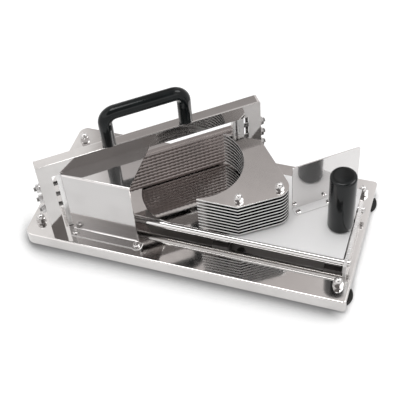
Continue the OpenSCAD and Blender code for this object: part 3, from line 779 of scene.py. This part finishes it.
# %% Sheet pieces, shoes and screws
worked_edges = {"base_tray": (polished_sheet, 0.3), "portal_frame": (frame_sheet, 0.4),
                "corner_guard": (guard_sheet, 0.35), "hand_shield": (shield_sheet, 0.35),
                "left_rod_bracket": (bracket_sheet, 0.6), "right_rod_bracket": (bracket_sheet, 0.6),
                "carriage_plate": (carriage_sheet, 0.4), "left_blade_bar": (ground_bar, 0.12),
                "right_blade_bar": (ground_bar, 0.12), "rod_screws": (bright_fastener, 0.12),
                "bracket_screws": (bright_fastener, 0.12), "guard_screws": (bright_fastener, 0.12)}
for number in range(1, 5):
    worked_edges["slide_block_%d" % number] = (shoe_black, 0.5)
top_folds = {"portal_frame": 1.6 * mm}
second_finishes = {"carriage_plate": (mill_sheet, is_underside), "corner_guard": (cut_edge, is_cut),
                   "hand_shield": (carriage_sheet, is_foot)}

for node, (finish, edge) in worked_edges.items():
    piece = dress(soft_sheet(node, edge * mm, top_folds.get(node, 0.0)), finish, node)
    if node in second_finishes:
        second_finish(piece, *second_finishes[node])
    print(piece.name, len(piece.data.polygons), "faces")

# %% [markdown]
# ## Pusher plates
# The ten plates of the pusher are one shape. Each could be worked by itself, but then a change would have
# to be made ten times: so the lowest is worked once, and the others are copies of it, each with its own
# mesh, moved up by the pitch of the slices. Only the top plate keeps the bright polished tone; the nine
# below it get a darker colour, a painted shade for the gaps between the plates. All edges are cut and
# brushed, which makes them pale lines, so the faces that stand upright get a second finish.

# %% Pusher plates
plate_count = 10
plate_edge = 0.25 * mm
plate_pitch = (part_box("pusher_plate_2")[0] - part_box("pusher_plate_1")[0]).z
top_plate = "pusher_plate_%d" % plate_count

# The lower plates get the darker painted-shade tone; only the top plate gets the bright one.
first_plate = dress(soft_sheet("pusher_plate_1", plate_edge), painted_shade_sheet, "pusher_plate_1")
for node, plate in lifted_copies(first_plate, "pusher_plate", plate_count, plate_pitch):
    dress(plate, pusher_sheet if node == top_plate else painted_shade_sheet, node)
    second_finish(plate, cut_edge, is_upright)
second_finish(first_plate, cut_edge, is_upright)
print(plate_count, "plates at a pitch of", round(plate_pitch / mm, 2), "mm")

# %% [markdown]
# ## Blades
# A blade is a toothed strip that is ground to an edge on both sides. A bump could hint at that, but the
# edge shows from the side. So the copy of the CAD strip is cut along its length with a bisect, which
# gives a line where the grinding starts, and the row of teeth in front of it is squeezed almost to
# nothing, which leaves a slim wedge. One blade is ground, the rest are copies.

# %% Blades
blade_count = 11
frame_corner = Vector((-176.8, -91.1, 22.0)) * mm
in_frame = Matrix.Translation(frame_corner) @ Matrix.Rotation(frame_turn, 4, "Z")
into_frame = in_frame.inverted()
frame_depth = 14 * mm
blade_width = 8 * mm
tooth_depth = 1.2 * mm
ground_width = 3.0 * mm
edge_share = 0.12
hair = 0.05 * mm
ground_degrees = 8

blade_low, blade_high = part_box("blade_1")
blade_pitch = (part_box("blade_2")[0] - blade_low).z
blade_front = (frame_depth - blade_width) / 2
blade_middle = (blade_low.z + blade_high.z) / 2
tooth_root = blade_front + tooth_depth + hair
first_blade = merged_copy("blade_1")
edit_all(first_blade)
bpy.ops.mesh.bisect(plane_co=in_frame @ Vector((0, blade_front + ground_width, 0)),
                    plane_no=in_frame.to_3x3() @ Vector((0, 1, 0)))
choose(first_blade, "VERT", lambda vertex: (into_frame @ vertex.co).y < tooth_root)
bpy.ops.transform.resize(value=(1, 1, edge_share), center_override=(0, 0, blade_middle))
bpy.ops.object.mode_set(mode="OBJECT")
dress(shade(first_blade, ground_degrees), shaded_blade_strip, "blade_1")
for node, blade in lifted_copies(first_blade, "blade", blade_count, blade_pitch):
    dress(blade, shaded_blade_strip, node)
print(blade_count, "blades with", len(first_blade.data.polygons), "faces each")

# %% [markdown]
# ## Turned pieces
# Rods, grip, feet, washers and rivets are round, so they are turned as on a lathe. A cylinder with bevels
# would do for the plain ones, but not for a dished top or a hollow foot. So the outline is drawn with one
# vertex that is extruded from point to point in the XZ plane, and a full spin makes the body. Arcs in the
# outline are short straight steps, fine enough to look round.

# %% Lathe helpers
seam_gap = 0.005 * mm


def arc(centre, radius, start, stop, steps=6):
    turns = [start + (stop - start) * i / steps for i in range(steps + 1)]
    return [(centre[0] + radius * cos(radians(a)), centre[1] + radius * sin(radians(a))) for a in turns]


def draw_outline(name, points):
    start_clean()
    bpy.ops.mesh.primitive_plane_add(size=mm)
    piece = bpy.context.object
    piece.name = name
    bpy.ops.object.mode_set(mode="EDIT")
    bpy.ops.mesh.select_all(action="SELECT")
    bpy.ops.mesh.merge(type="CENTER")
    bpy.ops.transform.translate(value=(points[0][0], 0, points[0][1]))
    for here, there in zip(points, points[1:]):
        step = (there[0] - here[0], 0, there[1] - here[1])
        bpy.ops.mesh.extrude_vertices_move(TRANSFORM_OT_translate={"value": step})
    return piece


def turn(name, points, steps=48):
    piece = draw_outline(name, points)
    bpy.ops.mesh.select_all(action="SELECT")
    bpy.ops.mesh.spin(steps=steps, angle=2 * pi, center=(0, 0, 0), axis=(0, 0, 1))
    bpy.ops.mesh.select_all(action="SELECT")
    bpy.ops.mesh.remove_doubles(threshold=seam_gap)
    bpy.ops.mesh.normals_make_consistent(inside=False)
    bpy.ops.object.mode_set(mode="OBJECT")
    return piece


# %% [markdown]
# A new piece is made at the origin and then seated where the CAD solid stands. A node such as the four
# acorn nuts holds several solids. To find each one, a copy of the node is taken apart into its loose
# pieces, their boxes are read, and the copy is thrown away.


# %% Places of the solids in a node
def seat(piece, place):
    take(piece)
    piece.matrix_world = place
    bpy.ops.object.transform_apply(location=True, rotation=True, scale=True)
    return piece


def at_base(low, high):
    return Matrix.Translation(((low.x + high.x) / 2, (low.y + high.y) / 2, low.z))


def boxes_in(node):
    edit_all(merged_copy(node))
    bpy.ops.mesh.separate(type="LOOSE")
    bpy.ops.object.mode_set(mode="OBJECT")
    found = []
    for part in list(bpy.context.selected_objects):
        spots = [vertex.co for vertex in part.data.vertices]
        low = Vector([min(spot[i] for spot in spots) for i in range(3)])
        high = Vector([max(spot[i] for spot in spots) for i in range(3)])
        found.append((low, high))
        throw_away(part)
    return sorted(found, key=lambda box: tuple(round(value / mm) for value in box[0]))


def boxes_and_size(node):
    found = boxes_in(node)
    low, high = found[0]
    return found, high - low


def set_out(master, node, places, finish):
    name = master.name
    for number, place in enumerate(places, 1):
        dress(copy_of(master.data, "%s_%d" % (name, number), place), finish, node)
    throw_away(master)
    print(len(places), "of", name)


def set_upright(master, node, found, finish):
    set_out(master, node, [at_base(low, high) for low, high in found], finish)


# %% [markdown]
# ## Guide rods
# The carriage slides on two ground and chromed rods. They are turned with a small chamfer at both ends,
# and with many sides, because a mirror shows every facet. The outline stands upright, so each rod is laid
# along X.

# %% Guide rods
rod_chamfer = 0.6 * mm
rod_sides = 72
along_x = Matrix.Rotation(pi / 2, 4, "Y")

for node in ("front_rod", "rear_rod"):
    low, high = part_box(node)
    length = high.x - low.x
    radius = (high.z - low.z) / 2
    outline = [(0, 0), (radius - rod_chamfer, 0), (radius, rod_chamfer), (radius, length - rod_chamfer),
               (radius - rod_chamfer, length), (0, length)]
    start = Matrix.Translation((low.x, (low.y + high.y) / 2, (low.z + high.z) / 2))
    rod = seat(turn(node + "_turned", outline, rod_sides), start @ along_x)
    dress(smooth(rod), rod_chrome, node)
    print(rod.name, round(length / mm, 1), "mm long")

# %% [markdown]
# ## Push grip
# The grip is a plain round moulding with softly rounded rims. Its top has a shallow dish, as thick
# plastic gets when it shrinks in the mould. All of that is in one outline, so the lathe makes it in one
# go.

# %% Push grip
low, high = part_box("push_grip")
grip_radius = (high.x - low.x) / 2
grip_height = high.z - low.z
grip_round = 3.5 * mm
grip_sides = 96
dish_depth = 0.5 * mm
dish_start = 2.2 * mm
dish_slope = 0.6
flat_radius = grip_radius - grip_round

outline = [(0, 0), (flat_radius, 0)]
outline += arc((flat_radius, grip_round), grip_round, -90, 0, 8)
outline += arc((flat_radius, grip_height - grip_round), grip_round, 0, 90, 8)
outline += [(flat_radius - dish_start, grip_height),
            (flat_radius - 2 * dish_start, grip_height - dish_slope * dish_depth),
            (grip_radius / 3, grip_height - dish_depth), (0, grip_height - dish_depth)]
grip = seat(turn("push_grip_turned", outline, grip_sides), at_base(low, high))
dress(shade(grip, 30), grip_black, "push_grip")
print("grip", round(2 * grip_radius / mm, 1), "by", round(grip_height / mm, 1), "mm")

# %% [markdown]
# ## Carry handle
# The handle is one round bar with two tight bends. A curve with a round bevel would be quicker to draw,
# but here each length and bend is a number. A ring of vertices is extruded up the first leg, spun round
# the first bend, extruded along the bar, spun round the second bend and extruded down again. The two open
# ends are filled, and the whole loop is turned into the frame's direction.

# %% Carry handle
low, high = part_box("carry_handle")
bar_width = 17.5 * mm
leg_gap = 101 * mm
bend = 14 * mm
bend_steps = 14
bar_sides = 48
end_round = 0.5 * mm
leg = high.z - low.z - bar_width / 2 - bend


def push_on(step):
    bpy.ops.mesh.extrude_region_move(TRANSFORM_OT_translate={"value": step})


def bend_round(x):
    bpy.ops.mesh.spin(steps=bend_steps, angle=-pi / 2, center=(x, 0, leg), axis=(0, 1, 0))


start_clean()
bpy.ops.mesh.primitive_circle_add(vertices=bar_sides, radius=bar_width / 2, location=(-leg_gap / 2, 0, 0))
handle = bpy.context.object
handle.name = "carry_handle_bent"
bpy.ops.object.transform_apply(location=True)
edit_all(handle)
push_on((0, 0, leg))
bend_round(-leg_gap / 2 + bend)
push_on((leg_gap - 2 * bend, 0, 0))
bend_round(leg_gap / 2 - bend)
push_on((0, 0, -leg))
bpy.ops.mesh.select_all(action="SELECT")
bpy.ops.mesh.remove_doubles(threshold=seam_gap)
bpy.ops.mesh.fill_holes(sides=0)
bpy.ops.mesh.normals_make_consistent(inside=False)
bpy.ops.object.mode_set(mode="OBJECT")
print("handle before turning:", in_mm(handle.dimensions))
handle_place = at_base(low, high) @ Matrix.Rotation(frame_turn, 4, "Z")
round_edges(seat(handle, handle_place), end_round, degrees=60)
dress(shade(handle, 40), gloss_black, "carry_handle")

# %% [markdown]
# ## Rubber feet
# Each foot is a low disc with a ring that stands on the table, a hollow inside the ring that grips like a
# sucker, and a neck that reaches up to the tray inside the skirt. One foot is turned and copied to its
# four places. Its outline goes up the outside and down the bore for the stud.

# %% Rubber feet
foot_boxes, foot_size = boxes_and_size("rubber_feet")
foot_radius = foot_size.x / 2
foot_top = foot_size.z
foot_sides = 64
rim_top = 3.6 * mm
rim_round = 1.0 * mm
ring_width = 3.0 * mm
ring_edge = (0.4 * mm, 0.2 * mm)
hollow = 1.5 * mm
neck = 10 * mm
neck_fillet = 3 * mm
bore = 3.1 * mm
bore_bottom = 8 * mm

outline = [(0, hollow), (foot_radius / 2, hollow), (foot_radius - ring_width, ring_edge[1]),
           (foot_radius - ring_width + ring_edge[0], 0)]
outline += arc((foot_radius - rim_round, rim_round), rim_round, -90, 0, 4)
outline += arc((foot_radius - rim_round, rim_top - rim_round), rim_round, 0, 90, 4)
outline += arc((neck + neck_fillet, rim_top + neck_fillet), neck_fillet, 270, 180, 5)
outline += [(neck, foot_top), (bore, foot_top), (bore, bore_bottom), (0, bore_bottom)]
foot = shade(turn("rubber_foot", outline, foot_sides), 35)
set_upright(foot, "rubber_feet", foot_boxes, foot_rubber)
print("feet of", round(2 * foot_radius / mm, 1), "mm")

# %% [markdown]
# ## Nuts and washers
# A hexagon nut is a six-sided bar whose corners were turned off on the lathe. Bevels would cut the
# corners straight, not round, so the nut is made as in the workshop: a boolean keeps what a hexagon and a
# turned bell have in common. An acorn nut gets a dome on top with a second boolean. Washers are turned
# rings with a small round on their edges.

# %% Nut helpers
nut_edge = 0.1 * mm
nut_degrees = 30
chamfer_slope = radians(30)
chamfer_start = 0.97
bell_room = 0.1 * mm
dome_inset = 0.2 * mm
dome_collar = 0.8 * mm
dome_steps = 14
washer_edge = 0.25 * mm


def boolean(piece, other, operation):
    apply_modifier(piece, "BOOLEAN", operation=operation, object=other, solver="EXACT")
    throw_away(other)
    return piece


def corner_of(flats):
    return flats / 2 / cos(radians(30))


def hexagon(name, flats, height):
    start_clean()
    bpy.ops.mesh.primitive_cylinder_add(vertices=6, radius=corner_of(flats), depth=height,
                                        location=(0, 0, height / 2), rotation=(0, 0, pi / 6))
    piece = bpy.context.object
    piece.name = name
    bpy.ops.object.transform_apply(location=True, rotation=True)
    return piece


def chamfer_bell(flats, height, bore_radius, both_ends):
    corner = corner_of(flats) + bell_room
    inner = flats / 2 * chamfer_start
    drop = (corner - inner) * tan(chamfer_slope)
    outline = [(bore_radius, 0)]
    outline += [(inner, 0), (corner, drop)] if both_ends else [(corner, 0)]
    outline += [(corner, height - drop), (inner, height), (bore_radius, height)]
    if bore_radius > 0:
        outline += [outline[0]]
    return turn("bell", outline)


def broken_edges(piece):
    return smooth(round_edges(piece, nut_edge, 1), nut_degrees)


# %% Nut and washer makers
def hex_nut(name, flats, height, bore_radius):
    piece = hexagon(name, flats, height)
    boolean(piece, chamfer_bell(flats, height, bore_radius, True), "INTERSECT")
    return broken_edges(piece)


def acorn_nut(name, flats, height):
    dome_radius = flats / 2 - dome_inset
    hex_height = height - dome_radius
    piece = hexagon(name, flats, hex_height)
    boolean(piece, chamfer_bell(flats, hex_height, 0, False), "INTERSECT")
    outline = [(0, hex_height - dome_collar), (dome_radius - dome_collar / 2, hex_height - dome_collar)]
    outline += arc((0, hex_height), dome_radius, 0, 90, dome_steps)
    boolean(piece, turn("dome", outline), "UNION")
    return broken_edges(piece)


def washer(name, radius, bore_radius, height):
    outline = [(bore_radius, 0), (radius - washer_edge, 0), (radius, washer_edge),
               (radius, height - washer_edge), (radius - washer_edge, height), (bore_radius, height),
               (bore_radius, 0)]
    return smooth(turn(name, outline), nut_degrees)


# %% Nuts and washers that stand upright
stud_bore = 3.1 * mm

for name in ("foot_acorn_nut", "stack_acorn_nut"):
    found, size = boxes_and_size(name + "s")
    set_upright(acorn_nut(name, min(size.x, size.y), size.z), name + "s", found, bright_fastener)
for name in ("foot_washer", "stack_washer"):
    found, size = boxes_and_size(name + "s")
    set_upright(washer(name, size.x / 2, stud_bore, size.z), name + "s", found, bright_fastener)
found, size = boxes_and_size("stack_lock_nuts")
lock_nut = hex_nut("stack_lock_nut", min(size.x, size.y), size.z, stud_bore)
set_upright(lock_nut, "stack_lock_nuts", found, bright_fastener)

# %% [markdown]
# ## Tension screws
# Three screws at each end of the frame pull the blade bars apart. Their threads show in the slot beside
# the post and in front of the nuts. A bump would leave the outline smooth, so the thread is real: a small
# zigzag that climbs by its pitch on every turn, which is what the Screw modifier does. Two bisects cut it
# to length and close the ends.

# %% Thread maker
thread_pitch = 1.0 * mm
thread_depth = 0.55 * mm
thread_steps = 20
spare_turns = 3


def threaded_stud(name, radius, length):
    zigzag = [(radius - thread_depth, 0), (radius, thread_pitch / 2), (radius - thread_depth, thread_pitch)]
    piece = draw_outline(name, zigzag)
    bpy.ops.object.mode_set(mode="OBJECT")
    turns = int(length / thread_pitch) + spare_turns
    apply_modifier(piece, "SCREW", angle=2 * pi, screw_offset=thread_pitch, iterations=turns,
                   steps=thread_steps, render_steps=thread_steps, axis="Z")
    edit_all(piece)
    bpy.ops.mesh.remove_doubles(threshold=seam_gap)
    bpy.ops.mesh.normals_make_consistent(inside=False)
    bpy.ops.mesh.bisect(plane_co=(0, 0, thread_pitch), plane_no=(0, 0, 1), use_fill=True, clear_inner=True)
    bpy.ops.mesh.select_all(action="SELECT")
    bpy.ops.mesh.bisect(plane_co=(0, 0, thread_pitch + length), plane_no=(0, 0, 1), use_fill=True,
                        clear_outer=True)
    bpy.ops.mesh.select_all(action="SELECT")
    bpy.ops.transform.translate(value=(0, 0, -thread_pitch))
    bpy.ops.mesh.normals_make_consistent(inside=False)
    bpy.ops.object.mode_set(mode="OBJECT")
    return shade(piece, 40)


# %% [markdown]
# The screws lie along the frame, and so do their nuts and washers. A box that is square to the tray tells
# the length of a turned screw: its width takes up a part of the box, and the rest is seen at the frame's
# angle.

# %% Tension screws, nuts and washers
stud_radius = 3.0 * mm
nut_height = 4.0 * mm
nut_flats = 10.0 * mm
tension_washer_radius = 6.0 * mm
tension_washer_height = 1.2 * mm
along_frame = Matrix.Rotation(frame_turn, 4, "Z") @ along_x


def set_along_frame(master, node, found, height, finish):
    down = Matrix.Translation((0, 0, -height / 2))
    places = [Matrix.Translation((low + high) / 2) @ along_frame @ down for low, high in found]
    set_out(master, node, places, finish)


found, size = boxes_and_size("tension_studs")
stud_length = (size.x - 2 * stud_radius * sin(frame_turn)) / cos(frame_turn)
stud = threaded_stud("tension_stud", stud_radius, stud_length)
set_along_frame(stud, "tension_studs", found, stud_length, rolled_thread)
found = boxes_in("tension_nuts")
nut = hex_nut("tension_nut", nut_flats, nut_height, stud_bore)
set_along_frame(nut, "tension_nuts", found, nut_height, bright_fastener)
found = boxes_in("tension_washers")
ring = washer("tension_washer", tension_washer_radius, stud_bore, tension_washer_height)
set_along_frame(ring, "tension_washers", found, tension_washer_height, bright_fastener)
print("studs are", round(stud_length / mm, 1), "mm long")

# %% [markdown]
# ## Rivets
# The shield is riveted to the carriage plate. A rivet's head is pressed to a low dome, and its shank
# fills the hole. The dome is flatter than a part of a sphere, so its outline is given in shares of the
# head.

# %% Rivets
found, size = boxes_and_size("shield_rivets")
head_radius = size.x / 2
head_height = 1.2 * mm
shank_radius = 2.0 * mm
rim = 0.35 * mm
neck_z = size.z - head_height
dome_shares = ((0.86, 0.62), (0.58, 0.88), (0.28, 0.98))

outline = [(0, 0), (shank_radius, 0), (shank_radius, neck_z), (head_radius, neck_z),
           (head_radius, neck_z + rim)]
outline += [(head_radius * out, neck_z + rise * head_height) for out, rise in dome_shares]
outline += [(0, size.z)]
set_upright(smooth(turn("shield_rivet", outline), 35), "shield_rivets", found, bright_fastener)

# %% [markdown]
# ## CAD nodes that stay
# Whatever no piece stands for, such as the screws and pins inside, keeps its CAD shape and gets the
# finish of its kind.

# %% Finish of the CAD nodes that stay
finish_of_slot = {"polished_steel": polished_sheet, "satin_steel": ground_bar, "blade_steel": shaded_blade_strip,
                  "fastener_steel": bright_fastener, "rod_chrome": rod_chrome, "black_gloss": gloss_black,
                  "black_rubber": foot_rubber, "slide_plastic": shoe_black}
for node in cad_nodes.values():
    node.material_slots[0].material = finish_of_slot[node.material_slots[0].material.name]
print("CAD shapes that show:", [name for name, node in cad_nodes.items() if not node.hide_render])
